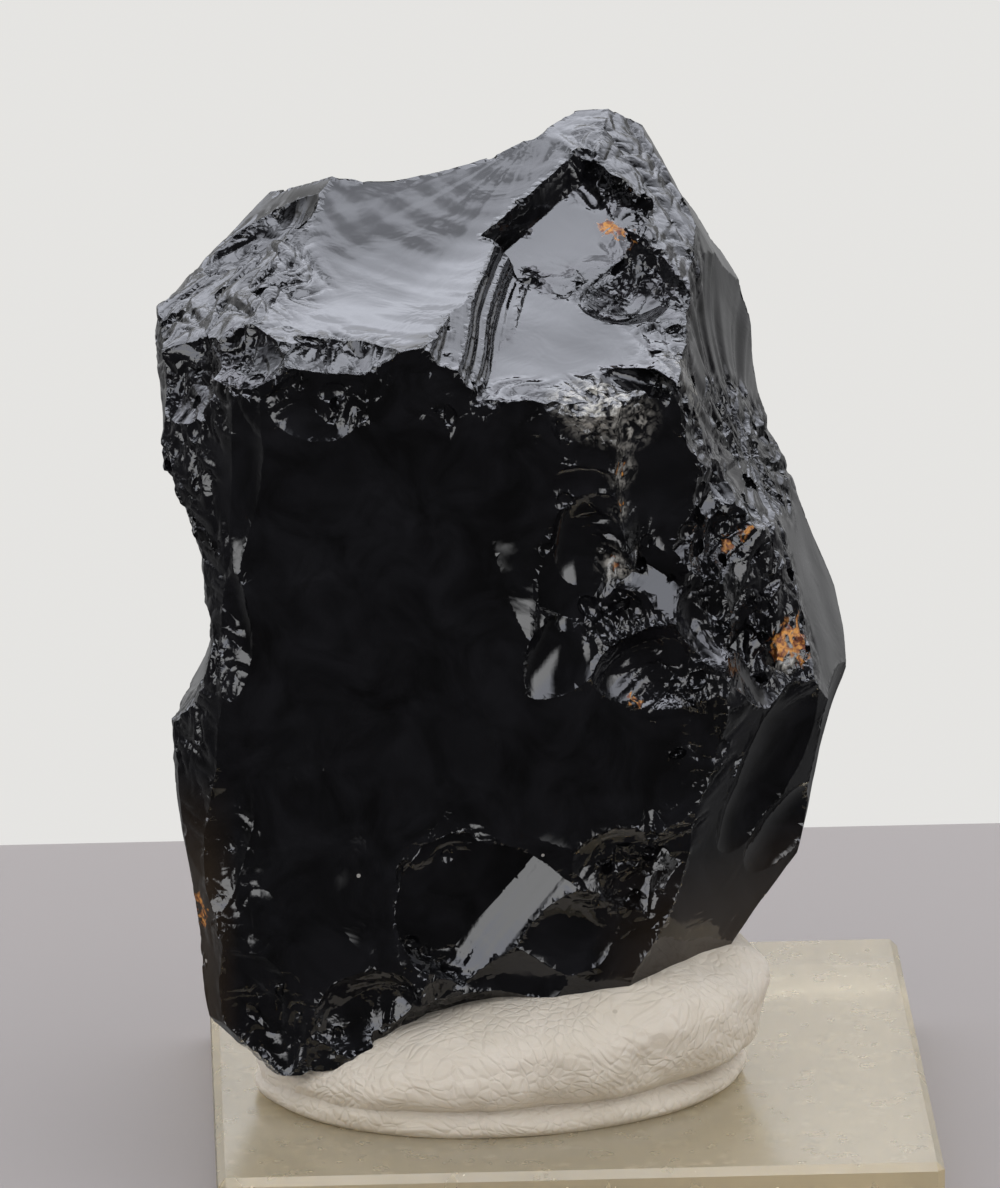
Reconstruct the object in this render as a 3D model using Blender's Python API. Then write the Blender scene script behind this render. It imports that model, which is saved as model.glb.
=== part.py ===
"""Andara crystal: a knapped chunk of black volcanic glass, pressed into a pad of white putty on a square acrylic base.

The origin is the centre of the base's underside; +Z is up and -Y is the front. Sizes are in millimetres until each mesh is scaled to metres.
"""

import math

import bmesh
import bpy
from mathutils import Matrix, Vector

METRES = 0.001

BASE_SIDE = 38.0
BASE_HEIGHT = 4.8
BASE_CHAMFER = 0.4

SEAT_GAP = 0.3  # between the putty and its two neighbours

# The putty is a rolled pad folded once: a thin lower lip, a crease, and a fat upper roll that is higher on the right.
PUTTY_CENTRE = (-3.8, -3.0)
PUTTY_HALF = (13.0, 11.0)
PUTTY_SIDES = 40
# height over the base at the middle, how much higher at the right end than at the left, and how far out the ring goes
# at its left end and at its right end
PUTTY_RINGS = (
    (0.0, 0.0, 0.965, 0.955),
    (0.35, 0.0, 0.99, 0.98),
    (0.8, 0.0, 1.00, 0.98),
    (1.15, 0.1, 0.995, 0.955),
    (1.4, 0.2, 0.985, 0.925),
    (1.65, 0.3, 0.985, 0.95),
    (2.1, 0.5, 0.995, 1.02),
    (2.8, 1.2, 0.99, 1.07),
    (3.5, 2.0, 0.965, 1.085),
    (4.2, 2.8, 0.92, 1.065),
    (4.9, 3.5, 0.85, 1.01),
    (5.5, 4.1, 0.75, 0.92),
    (6.0, 4.5, 0.62, 0.78),
    (6.35, 4.7, 0.45, 0.58),
    (6.5, 4.8, 0.27, 0.35),
)

# Cleavage planes of the chunk: a point on each and the azimuth and elevation that it faces.
# Azimuth 0 is the front (-Y) and 90 is the right (+X).
CLEAVAGES = {
    "front": ((-8.0, -11.6, 28.0), (-4, -1)),
    "front_low": ((-0.7, -12.1, 25.2), (9, -9)),
    "top": ((-6.0, 0.0, 51.3), (-12, 74)),
    "top_back": ((2.4, 10.3, 54.5), (-166, 38)),
    "left": ((-21.0, 0.0, 36.0), (-90, 0)),
    "left_front": ((-19.9, -8.0, 34.0), (-48, 2)),
    "left_low": ((-20.3, -6.0, 18.0), (-86, -4)),
    "left_low_back": ((-20.9, -7.0, 25.0), (-108, -8)),
    "left_low_front": ((-18.4, -11.0, 18.0), (-58, -6)),
    "left_foot": ((-17.7, -9.2, 9.2), (-62, -38)),
    "left_heel": ((-18.3, -3.0, 9.3), (-92, -41)),
    "left_top": ((-18.6, 2.0, 49.1), (-107, 40)),
    "right_up": ((9.2, 6.0, 45.2), (89, 19.5)),
    "right_top": ((7.7, 7.0, 48.9), (92, 30)),
    "right": ((14.9, 3.0, 28.0), (94, 2)),
    "right_front": ((13.0, -5.5, 30.0), (46, 8)),
    "right_low": ((7.4, -12.4, 28.7), (46, -17)),
    "right_foot": ((8.0, -8.5, 15.5), (40, -34)),
    "right_low_back": ((13.9, 0.0, 22.0), (84, -16)),
    "right_heel": ((11.2, 1.0, 14.6), (82, -34)),
    "peak_right": ((4.2, 8.0, 53.1), (60, 52)),
    "bottom": ((-3.0, -6.0, 9.1), (92, -83)),
    "back": ((0.0, 15.5, 28.0), (178, 3)),
    "back_left": ((-15.5, 11.0, 30.0), (-138, 2)),
    "back_right": ((11.5, 12.0, 30.0), (138, 4)),
    "back_low": ((0.0, 11.5, 12.5), (170, -42)),
    "back_high": ((-4.0, 13.5, 46.0), (-176, 24)),
}

# Scars of the flakes that came off: the middle of each on the chunk's skin, the azimuth and elevation that the flake
# left toward, its length and width, its depth, its roll about that direction, and how flat it is.
SCARS = {
    "top_main": ((-8.4, -3.8, 50.1), (-12, 74), (16, 21), 1.4, -20, 7),
    "top_step": ((-14.2, 2.0, 50.6), (-70, 40), (5.5, 12), 1.3, -10, 3),
    "top_left": ((-16.2, 0.3, 49.8), (-62, 46), (8, 6), 1.2, 50, 3),
    "top_left_low": ((-17.7, -4.3, 47.4), (-50, 58), (8, 6), 1.0, 10, 3),
    "top_left_end": ((-19.4, 1.5, 46.8), (-85, 30), (6, 6), 0.9, 0, 3),
    "bowl_fan": ((-5.2, -5.5, 49.0), (-2, 66), (11, 17), 2.6, -22, 3),
    "bowl": ((0.2, -2.6, 51.2), (22, 63), (14, 17), 4.6, 10, 3),
    "bowl_floor": ((1.0, -7.0, 48.4), (8, 62), (10, 12), 3.4, 0, 3),
    "bowl_right": ((5.0, -5.0, 50.0), (35, 40), (9, 12), 3.4, -10, 3),
    "bowl_right_low": ((4.0, -6.0, 49.2), (60, 28), (5, 7), 1.6, 0, 3),
    "peak_flank": ((5.0, 3.8, 51.7), (50, 38), (7, 9), 1.2, -20, 3),
    "peak_flank_high": ((3.8, 6.1, 53.3), (30, 60), (6, 6), 0.8, -20, 3),
    "rim_middle": ((-12.0, -10.9, 47.3), (-10, 60), (6, 4), 1.0, 0, 3),
    "rim_left": ((-17.4, -9.5, 46.6), (-30, 58), (6, 4), 1.0, -4, 3),
    "rim_right": ((0.8, -12.5, 45.1), (15, 38), (5, 5), 1.2, 0, 3),
    "rim_bowl": ((-7.7, -11.9, 45.8), (0, 58), (7, 3), 0.7, 4, 3),
    "rim_end": ((-19.6, -7.1, 44.9), (-55, 20), (5, 6), 1.0, 0, 3),
    "front_arc": ((-13.0, -11.5, 44.2), (-4, 15), (4.6, 4.2), 0.6, 0, 3),
    "front_high": ((-12.5, -11.5, 38.4), (-8, 4), (17, 8), 0.5, 22, 8),
    "front_middle": ((-14.1, -11.2, 31.8), (-6, -4), (14, 10), 0.5, 35, 8),
    "front_left": ((-16.5, -10.9, 22.5), (-16, -1), (17, 8), 0.7, 86, 6),
    "front_right": ((-9.8, -11.4, 23.6), (5, -3), (17, 9), 1.1, 84, 5),
    "front_right_low": ((-8.7, -11.4, 18.6), (14, -8), (9, 5), 1.2, 75, 5),
    "front_wedge": ((-11.2, -11.1, 11.7), (6, -22), (6, 4.6), 1.3, 20, 3),
    "front_toe": ((-16.8, -10.7, 12.5), (-20, -14), (8, 6), 0.7, -60, 4),
    "middle_strip": ((-3.2, -12.1, 38.3), (20, 2), (13, 4.6), 0.9, 94, 4),
    "middle_high": ((0.1, -12.4, 41.5), (14, 10), (5.4, 5.6), 1.7, 0, 3),
    "middle": ((0.7, -12.3, 35.7), (20, 4), (9, 5), 2.1, 86, 3),
    "middle_low": ((-0.6, -12.2, 31.2), (24, -2), (8, 5), 1.2, 66, 3),
    "trough": ((5.1, -12.0, 38.4), (40, 8), (15, 6.4), 2.6, 98, 3),
    "trough_head": ((4.5, -11.7, 42.9), (30, 20), (7, 5.6), 1.6, 60, 3),
    "hollow": ((4.2, -12.0, 29.6), (18, -12), (8, 6), 2.5, 8, 3),
    "low_face": ((0.7, -11.9, 25.4), (12, -5), (14, 13), 1.2, -20, 6),
    "low_spoon": ((-2.8, -11.3, 18.4), (-30, 12), (9.5, 5.2), 2.0, 44, 3),
    "low_dome": ((1.5, -10.7, 18.8), (28, -12), (4.6, 4.6), 1.0, 0, 3),
    "low_middle": ((-0.7, -10.5, 15.6), (14, -26), (7, 5.2), 0.9, 10, 3),
    "low_edge": ((-2.8, -10.4, 12.9), (0, -34), (8, 4), 0.8, 10, 3),
    "low_strip": ((3.5, -10.0, 16.5), (20, -20), (9, 4.5), 1.0, 62, 3),
    "right_low": ((10.4, -6.7, 23.0), (50, -10), (12, 8), 0.8, 100, 6),
    "right_toe": ((6.4, -6.0, 14.0), (48, -30), (8, 6), 0.9, 50, 4),
    "rough": ((9.9, -8.1, 33.1), (50, 8), (14, 9), 1.6, 104, 3),
    "rough_high": ((8.3, -8.1, 41.3), (52, 18), (7, 5), 1.4, 120, 3),
    "rough_notch": ((8.9, -6.7, 38.7), (58, 12), (4, 3.4), 1.1, 0, 3),
    "rough_lens": ((7.8, -7.8, 35.6), (46, 22), (4.6, 2.6), 1.1, 20, 3),
    "rough_pit": ((9.8, -6.9, 31.1), (50, 0), (3.6, 4), 1.1, 0, 3),
    "rough_left": ((7.1, -9.3, 32.6), (44, 4), (4.6, 5), 0.9, 0, 3),
    "side_high": ((10.7, 5.0, 41.6), (88, 17), (9, 24), 0.9, 90, 4),
    "side": ((13.3, 0.2, 32.2), (84, 14), (9, 7), 0.8, 100, 3),
    "side_low": ((13.7, -1.9, 22.8), (82, -10), (8, 7), 0.7, 90, 3),
    "under_middle": ((-5.0, -10.4, 10.9), (5, -62), (9, 6), 1.0, 0, 3),
    "back_step": ((-10.5, 7.0, 53.2), (178, 44), (15, 13), 1.6, 0, 5),
    "notch": ((-21.0, 0.0, 34.6), (-91, -3), (12, 60), 2.1, 88, 4),
    "notch_ledge": ((-21.0, 0.0, 31.3), (-91, -8), (9.2, 60), 2.6, 88, 3),
    "back_bowl": ((-4.0, 15.5, 33.0), (176, 8), (24, 22), 2.6, 20, 7),
    "left_ledge": ((-20.4, 2.8, 27.5), (-100, 14), (17, 14), 2.4, 0, 3),
    "back_flake": ((5.5, 15.0, 22.0), (160, -6), (20, 15), 1.8, 70, 7),
    "back_flake_left": ((-13.0, 12.5, 19.0), (-146, -8), (18, 14), 1.8, 60, 7),
    "back_edge_right": ((9.5, 13.5, 38.0), (150, 12), (16, 8), 1.6, 80, 5),
    "back_edge_left": ((-12.0, 14.0, 40.0), (-160, 14), (14, 9), 1.5, 100, 5),
    "back_crest": ((-1.0, 12.5, 46.5), (-170, 34), (17, 11), 1.7, 8, 6),
    "left_flake": ((-20.5, 6.5, 38.0), (-104, 10), (16, 13), 1.5, 76, 6),
    "left_flake_low": ((-19.5, 5.0, 19.0), (-100, -14), (15, 12), 1.5, 80, 6),
    "right_flake": ((13.5, 8.5, 33.0), (112, 12), (18, 12), 1.6, 84, 6),
    "right_flake_low": ((13.0, 7.0, 20.5), (108, -16), (14, 11), 1.4, 84, 6),
}


def direction(azimuth, elevation):
    """Unit vector that faces this way."""
    a, e = math.radians(azimuth), math.radians(elevation)
    return Vector((math.sin(a) * math.cos(e), -math.cos(a) * math.cos(e), math.sin(e)))


def scar_ellipsoid(point, facing, size, depth, roll, flatness, shrink=0.0):
    """The ellipsoid that cuts one scar: its matrix, taking a unit sphere to millimetres."""
    out = direction(*facing)
    azimuth = math.radians(facing[0])
    across = Vector((math.cos(azimuth), math.sin(azimuth), 0.0))
    turned = Matrix.Rotation(math.radians(roll), 3, out) @ across
    height = flatness * depth
    opening = math.sqrt(1.0 - ((height - depth) / height) ** 2)
    radii = (size[0] / 2 / opening, size[1] / 2 / opening, height)
    axes = Matrix((turned, out.cross(turned), out)).transposed().to_4x4()
    centre = Vector(point) + out * (height - depth)
    return Matrix.Translation(centre) @ axes @ Matrix.Diagonal((*[r - shrink for r in radii], 1.0))


def new_object(name, bm, material=None):
    """An object from a bmesh in millimetres."""
    bmesh.ops.scale(bm, vec=(METRES,) * 3, verts=bm.verts)
    bmesh.ops.recalc_face_normals(bm, faces=bm.faces)
    mesh = bpy.data.meshes.new(name)
    bm.to_mesh(mesh)
    bm.free()
    obj = bpy.data.objects.new(name, mesh)
    bpy.context.scene.collection.objects.link(obj)
    if material:
        mesh.materials.append(material)
    return obj


def as_cutter(obj):
    obj.hide_render = True
    obj.display_type = "WIRE"
    return obj


def cut(obj, cutter):
    boolean = obj.modifiers.new("Cut " + cutter.name, "BOOLEAN")
    boolean.operation = "DIFFERENCE"
    boolean.solver = "EXACT"
    boolean.object = cutter


def principled(name, colour, roughness, alpha=1.0):
    material = bpy.data.materials.new(name)
    material.use_nodes = True
    shader = material.node_tree.nodes["Principled BSDF"]
    shader.inputs["Base Color"].default_value = (*colour, 1.0)
    shader.inputs["Roughness"].default_value = roughness
    shader.inputs["Metallic"].default_value = 0.0
    shader.inputs["Alpha"].default_value = alpha
    return material


def cleaved_block(growth=0.0):
    """A block cut down by every cleavage plane, each moved outward by the growth."""
    bm = bmesh.new()
    bmesh.ops.create_cube(bm, size=100.0, matrix=Matrix.Translation((0.0, 0.0, 30.0)))
    for point, facing in CLEAVAGES.values():
        out = direction(*facing)
        bmesh.ops.bisect_plane(
            bm,
            geom=bm.verts[:] + bm.edges[:] + bm.faces[:],
            plane_co=Vector(point) + out * growth,
            plane_no=out,
            clear_outer=True,
        )
        bmesh.ops.holes_fill(bm, edges=[e for e in bm.edges if e.is_boundary])
    return bm


def chunk(name, material=None, growth=0.0, below=100.0):
    """The knapped chunk. The growth makes it fatter all round, and only scars below the given height are cut."""
    obj = new_object(name, cleaved_block(growth), material)
    for scar, (point, facing, size, depth, roll, flatness) in SCARS.items():
        if point[2] > below:
            continue
        bm = bmesh.new()
        bmesh.ops.create_icosphere(bm, subdivisions=3 if size[0] * size[1] > 40 else 2, radius=1.0)
        bmesh.ops.transform(
            bm, matrix=scar_ellipsoid(point, facing, size, depth, roll, flatness, growth), verts=bm.verts
        )
        cut(obj, as_cutter(new_object(f"{name}_{scar}", bm)))
    return obj


def putty(material):
    """Rings from the foot to the crown, skinned and capped."""
    bm = bmesh.new()
    rings = []
    foot = BASE_HEIGHT + SEAT_GAP
    for height, rise, spread_left, spread_right in PUTTY_RINGS:
        ring = []
        for i in range(PUTTY_SIDES):
            angle = 2 * math.pi * i / PUTTY_SIDES
            x, y = math.cos(angle), math.sin(angle)
            spread = spread_left + (spread_right - spread_left) * (1 + x) / 2
            lobe = 1.0 + 0.02 * math.sin(2 * angle + 0.6) + 0.015 * math.sin(3 * angle + 2.0)
            ring.append(
                bm.verts.new(
                    (
                        PUTTY_CENTRE[0] + PUTTY_HALF[0] * spread * lobe * x,
                        PUTTY_CENTRE[1] + PUTTY_HALF[1] * spread * lobe * y,
                        foot + height + rise * 0.5 * x * spread,
                    )
                )
            )
        rings.append(ring)
    for low, high in zip(rings, rings[1:]):
        for i in range(PUTTY_SIDES):
            j = (i + 1) % PUTTY_SIDES
            bm.faces.new((low[i], low[j], high[j], high[i]))
    bm.faces.new(rings[0][::-1])
    bm.faces.new(rings[-1])
    obj = new_object("putty", bm, material)
    cut(obj, as_cutter(chunk("seat", growth=SEAT_GAP, below=21.0)))
    obj.data.shade_smooth()
    obj.data.set_sharp_from_angle(angle=math.radians(40))
    return obj


def acrylic_base(material):
    bm = bmesh.new()
    bmesh.ops.create_cube(
        bm,
        size=1.0,
        matrix=Matrix.Translation((0.0, 0.0, BASE_HEIGHT / 2))
        @ Matrix.Diagonal((BASE_SIDE, BASE_SIDE, BASE_HEIGHT, 1.0)),
    )
    obj = new_object("acrylic_base", bm, material)
    bevel = obj.modifiers.new("Chamfer", "BEVEL")
    bevel.width = BASE_CHAMFER * METRES
    bevel.segments = 1
    bevel.limit_method = "ANGLE"
    return obj


def main():
    for obj in list(bpy.data.objects):
        bpy.data.objects.remove(obj)
    acrylic_base(principled("yellowed acrylic", (0.86, 0.83, 0.66), 0.05, 0.35))
    putty(principled("white putty", (0.80, 0.77, 0.71), 0.7))
    chunk("crystal", principled("black volcanic glass", (0.006, 0.006, 0.007), 0.06))


main()
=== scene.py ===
"""Andara crystal: a knapped chunk of black volcanic glass, seated in white putty on a clear acrylic base."""

import functools
import math

import bmesh
import bpy
import numpy as np
from bpy.props import FloatProperty, FloatVectorProperty, IntProperty, PointerProperty
from mathutils import Matrix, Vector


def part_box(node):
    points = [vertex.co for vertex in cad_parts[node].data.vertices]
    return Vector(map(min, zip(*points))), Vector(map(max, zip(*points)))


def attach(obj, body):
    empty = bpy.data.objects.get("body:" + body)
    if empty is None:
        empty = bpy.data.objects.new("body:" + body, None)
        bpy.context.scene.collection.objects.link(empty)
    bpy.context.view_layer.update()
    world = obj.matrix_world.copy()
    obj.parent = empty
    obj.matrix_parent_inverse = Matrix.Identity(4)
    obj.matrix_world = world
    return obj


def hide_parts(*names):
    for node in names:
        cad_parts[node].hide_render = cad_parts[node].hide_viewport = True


bl_info = {
    "name": "Andara crystal on an acrylic base",
    "version": (1, 0, 0),
    "blender": (4, 5, 0),
    "location": "3D View > Sidebar > Andara",
    "description": "Knaps a chunk of black volcanic glass and seats it in putty on an acrylic base",
    "category": "Add Mesh",
}

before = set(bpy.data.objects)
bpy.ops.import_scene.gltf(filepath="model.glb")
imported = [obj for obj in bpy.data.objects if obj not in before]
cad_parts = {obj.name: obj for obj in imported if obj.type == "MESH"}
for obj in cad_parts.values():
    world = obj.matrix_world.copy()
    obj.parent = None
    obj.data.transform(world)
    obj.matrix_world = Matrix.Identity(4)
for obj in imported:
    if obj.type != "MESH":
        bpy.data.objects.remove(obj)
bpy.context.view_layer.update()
MM = 0.001
SEED = 41

# Step of the first carving grid, in mm, which finds the ridges that chip.
DRAFT_CELL = 0.5
ROOM = 1.2  # how far the grid goes past the solid, in mm
SOFTNESS = 0.08  # how much a vertex is held to the middle of its cell's crossings
CLEAR = 0.02  # how far a vertex keeps from its cell's walls, as a share of the cell

# --------------------------------------------------------------------------------------------------
# The chunk's own shape, in millimetres: origin at the centre of the base's underside, +Z up, -Y the front.
# An azimuth is in degrees: 0 is the front and 90 is the right. An elevation is in degrees above the level.
# --------------------------------------------------------------------------------------------------

# Cleavage planes: a point on each, and the azimuth and elevation that it faces.
CLEAVAGES = {
    "front": ((-8.0, -11.6, 28.0), (-4, -1)),
    "front_low": ((-0.7, -12.1, 25.2), (9, -9)),
    "top": ((-6.0, 0.0, 51.3), (-12, 74)),
    "top_back": ((2.4, 10.3, 54.5), (-166, 38)),
    "left": ((-21.0, 0.0, 36.0), (-90, 0)),
    "left_front": ((-19.9, -8.0, 34.0), (-48, 2)),
    "left_low": ((-20.3, -6.0, 18.0), (-86, -4)),
    "left_low_back": ((-20.9, -7.0, 25.0), (-108, -8)),
    "left_low_front": ((-18.4, -11.0, 18.0), (-58, -6)),
    "left_foot": ((-17.7, -9.2, 9.2), (-62, -38)),
    "left_heel": ((-18.3, -3.0, 9.3), (-92, -41)),
    "left_top": ((-18.6, 2.0, 49.1), (-107, 40)),
    "left_shoulder": ((-14.4, -0.8, 50.1), (-78, 60)),
    "right_up": ((9.2, 6.0, 45.2), (79, 19)),
    "right_top": ((7.7, 7.0, 48.9), (92, 30)),
    "right": ((14.9, 3.0, 28.0), (94, 2)),
    "right_front": ((13.0, -5.5, 30.0), (46, 8)),
    "right_low": ((7.4, -12.4, 28.7), (46, -17)),
    "right_foot": ((8.0, -8.5, 15.5), (40, -34)),
    "right_low_back": ((13.9, 0.0, 22.0), (84, -16)),
    "right_heel": ((11.2, 1.0, 14.6), (82, -34)),
    "peak_right": ((4.2, 8.0, 53.1), (60, 52)),
    "bottom": ((-3.0, -6.0, 9.1), (92, -83)),
    "back": ((0.0, 15.5, 28.0), (178, 3)),
    "back_left": ((-15.5, 11.0, 30.0), (-138, 2)),
    "back_right": ((11.5, 12.0, 30.0), (138, 4)),
    "back_low": ((0.0, 11.5, 12.5), (170, -42)),
    "back_high": ((-4.0, 13.5, 46.0), (-176, 24)),
}

# Flake scars: the middle of each on the skin, the azimuth and elevation that the flake left toward, length
# and width, depth, roll about that direction in degrees, and how flat it is.
SCARS = {
    "top_main": ((-7.6, -2.4, 50.5), (-12, 74), (17, 25), 1.5, -20, 7),
    "top_step": ((-14.4, 3.4, 50.8), (-66, 44), (4.6, 8), 1.0, -10, 3),
    "bowl": ((2.4, -4.0, 50.4), (24, 56), (9, 12), 3.4, 10, 3),
    "bowl_right": ((5.0, -5.0, 50.0), (35, 40), (9, 12), 3.4, -10, 3),
    "bowl_right_low": ((4.0, -6.0, 49.2), (60, 28), (5, 7), 1.6, 0, 3),
    "rim_middle": ((-12.0, -10.9, 47.3), (-10, 60), (6, 4), 1.0, 0, 3),
    "rim_left": ((-17.4, -9.5, 46.6), (-30, 58), (6, 4), 1.0, -4, 3),
    "rim_right": ((0.8, -12.5, 45.1), (15, 38), (5, 5), 1.2, 0, 3),
    "rim_end": ((-19.6, -7.1, 44.9), (-55, 20), (5, 6), 1.0, 0, 3),
    "front_arc": ((-13.0, -11.5, 44.2), (-4, 15), (4.6, 4.2), 0.6, 0, 3),
    "front_high": ((-12.5, -11.5, 38.4), (-6, 0), (17, 8), 0.35, 22, 8),
    "front_middle": ((-14.1, -11.2, 31.8), (-6, -4), (14, 10), 0.35, 35, 8),
    "front_left": ((-16.5, -10.9, 22.5), (-16, -1), (17, 8), 0.7, 86, 6),
    "front_right": ((-9.8, -11.4, 23.6), (5, -3), (17, 9), 1.1, 84, 5),
    "front_right_low": ((-8.7, -11.4, 18.6), (14, -4), (9, 5), 0.7, 75, 5),
    "front_wedge": ((-11.2, -11.1, 11.7), (6, -22), (6, 4.6), 1.3, 20, 3),
    "front_toe": ((-16.8, -10.7, 12.5), (-20, -14), (8, 6), 0.7, -60, 4),
    "middle_strip": ((-3.2, -12.1, 38.3), (20, 2), (13, 4.6), 0.45, 94, 4),
    "middle_high": ((0.1, -12.4, 41.5), (14, 4), (5.4, 5.6), 0.8, 0, 3),
    "crescent": ((0.2, -12.0, 39.9), (8, 4), (4.4, 2.6), 0.9, 0, 1.3),
    "sliver": ((-1.3, -12.1, 34.4), (6, 0), (6.4, 1.7), 0.8, 86, 1.3),
    "ripple_set": ((3.5, -11.2, 32.0), (-28, 34), (3.8, 3.0), 0.7, 30, 3),
    "middle": ((0.7, -12.3, 35.7), (20, 4), (9, 5), 2.1, 86, 3),
    "middle_low": ((-0.6, -12.2, 31.2), (24, -2), (8, 5), 1.2, 66, 3),
    "trough": ((5.1, -12.0, 38.4), (40, 8), (15, 6.4), 2.6, 98, 3),
    "trough_head": ((4.5, -11.7, 42.9), (30, 4), (7, 5.6), 1.2, 60, 3),
    "hollow": ((4.2, -12.0, 29.6), (18, -12), (8, 6), 2.5, 8, 3),
    "low_face": ((0.7, -11.9, 25.4), (12, -5), (14, 13), 1.2, -20, 6),
    "low_dome": ((1.5, -10.7, 18.8), (28, -4), (4.6, 4.6), 0.7, 0, 3),
    "low_middle": ((-0.7, -10.5, 15.6), (14, -14), (7, 5.2), 0.7, 10, 3),
    "low_edge": ((-2.8, -10.4, 12.9), (0, -20), (8, 4), 0.6, 10, 3),
    "low_strip": ((3.5, -10.0, 16.5), (20, -10), (9, 4.5), 0.7, 62, 3),
    "rough": ((9.9, -8.1, 33.1), (50, 8), (14, 9), 1.6, 104, 3),
    "rough_high": ((8.3, -8.1, 41.3), (52, 18), (7, 5), 1.4, 120, 3),
    "rough_notch": ((8.9, -6.6, 38.9), (46, 6), (3.8, 3.2), 1.3, 0, 1.7),
    "rough_lens": ((7.8, -7.8, 35.6), (46, 22), (4.6, 2.6), 1.1, 20, 3),
    "rough_pit": ((9.8, -6.9, 31.1), (50, 0), (3.6, 4), 1.1, 0, 3),
    "rough_left": ((7.1, -9.3, 32.6), (44, 4), (4.6, 5), 0.9, 0, 3),
    "side_high": ((8.6, 1.2, 43.4), (79, 13), (12, 26), 0.7, 90, 5),
    "side": ((13.3, 0.2, 32.2), (84, 14), (9, 7), 0.5, 100, 5),
    "side_low": ((13.7, -1.9, 22.8), (82, -10), (8, 7), 0.35, 90, 3),
    "under_middle": ((-5.0, -10.4, 10.9), (5, -62), (9, 6), 1.0, 0, 3),
    "back_step": ((-10.5, 7.0, 53.2), (178, 44), (15, 13), 1.6, 0, 5),
    "notch": ((-21.0, 0.0, 34.6), (-91, -3), (12, 60), 2.1, 88, 4),
    "notch_ledge": ((-21.0, 0.0, 31.3), (-91, -8), (9.2, 60), 2.6, 88, 3),
    "back_bowl": ((-4.0, 15.5, 33.0), (176, 8), (24, 22), 2.6, 20, 7),
    "left_ledge": ((-20.4, 2.8, 27.5), (-100, 14), (17, 14), 2.4, 0, 3),
    "back_flake": ((5.5, 15.0, 22.0), (160, -6), (20, 15), 1.8, 70, 7),
    "back_flake_left": ((-13.0, 12.5, 19.0), (-146, -8), (18, 14), 1.8, 60, 7),
    "back_edge_right": ((9.5, 13.5, 38.0), (150, 12), (16, 8), 1.6, 80, 5),
    "back_edge_left": ((-12.0, 14.0, 40.0), (-160, 14), (14, 9), 1.5, 100, 5),
    "back_crest": ((-1.0, 12.5, 46.5), (-170, 34), (17, 11), 1.7, 8, 6),
    "left_flake": ((-20.5, 6.5, 38.0), (-104, 10), (16, 13), 1.5, 76, 6),
    "left_flake_low": ((-19.5, 5.0, 19.0), (-100, -14), (15, 12), 1.5, 80, 6),
    "right_flake": ((13.5, 8.5, 33.0), (112, 12), (18, 12), 1.6, 84, 6),
    "right_flake_low": ((13.0, 7.0, 20.5), (108, -16), (14, 11), 1.4, 84, 6),
    "rim_pit": ((3.4, -8.8, 45.1), (16, 8), (4.8, 1.5), 0.9, -24, 1.8),
    "bowl_scoop": ((3.1, -1.9, 47.3), (20, 68), (5, 4.6), 0.9, 0, 3),
    "edge_left_high": ((-17.2, -11.0, 39.5), (-30, 3), (13, 3.4), 0.6, 84, 3),
    "edge_left_middle": ((-17.7, -10.6, 31.5), (-22, 1), (8, 3.0), 0.6, 96, 3),
    "edge_left_low": ((-18.2, -10.0, 21.0), (-14, 0), (9, 3.2), 0.6, 80, 3),
    "toe_right": ((10.4, -6.2, 22.2), (38, -10), (10, 5), 0.7, 70, 3),
    "toe_right_low": ((10.6, -4.4, 17.6), (52, -8), (7, 4.4), 0.6, 40, 3),
}

# Facets: each is a notch with a steep and a gentle side. A point on the crease between them, the azimuth and
# elevation that the steep side faces, those that the gentle side faces, and how far the notch goes each way
# along the crease and all round. Two also say what the steep side has turned to at one end, and how high its
# flutes are.
FACETS = {
    "bowl wall": ((-3.2, -7.0, 46.0), (64, 42), (8, 74), (8.2, 11.5), (62, 46), 0.11),
    "bowl ellipse": ((-0.75, 3.55, 50.3), (38, 8), (2, 54), (4.0, 5.4)),
    "bright strip": ((-4.4, -8.8, 16.2), (-27, 21), (9, -7), (4.2, 5.2), None, 0.02),
    "leaf": ((1.3, -10.3, 33.9), (-33, 14), (14, -4), (2.0, 3.4)),
    "curved strip": ((5.0, -9.4, 34.4), (24, 26), (-6, -14), (2.0, 2.6)),
    "petal": ((7.4, -7.9, 38.3), (22, 26), (60, -10), (1.1, 2.4)),
    "petal low": ((6.2, -8.9, 36.2), (22, 26), (50, -20), (1.0, 2.2)),
    "smooth": ((9.0, -6.0, 29.8), (22, 24), (55, -20), (1.2, 2.4)),
    "low splinter": ((4.0, -8.4, 17.6), (-33, 14), (20, -14), (1.8, 3.0)),
    "low chip": ((2.6, -8.9, 18.6), (20, 28), (10, -24), (0.9, 1.6)),
    "side shoulder": ((9.8, 3.0, 39.2), (80, 38), (79, 10), (14, 14)),
}

# How the shock ran through a scar: the side it was struck from (degrees round the scar), height and spacing
# of its ripples, and height and number per turn of the hackles that fan out from the blow.
SHOCKS = {
    "top_main": (90, 0.009, 1.7, 0.003, 40),
    "bowl": (120, 0.015, 2.3, 0.012, 40),
    "bowl_right": (60, 0.045, 1.4, 0.030, 60),
    "trough": (0, 0.010, 1.3, 0.004, 60),
    "side_high": (180, 0.002, 2.0, 0.07, 18),
    "ripple_set": (160, 0.050, 0.52, 0.0, 30),
    "rough_high": (250, 0.010, 1.2, 0.050, 22),
}

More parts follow.
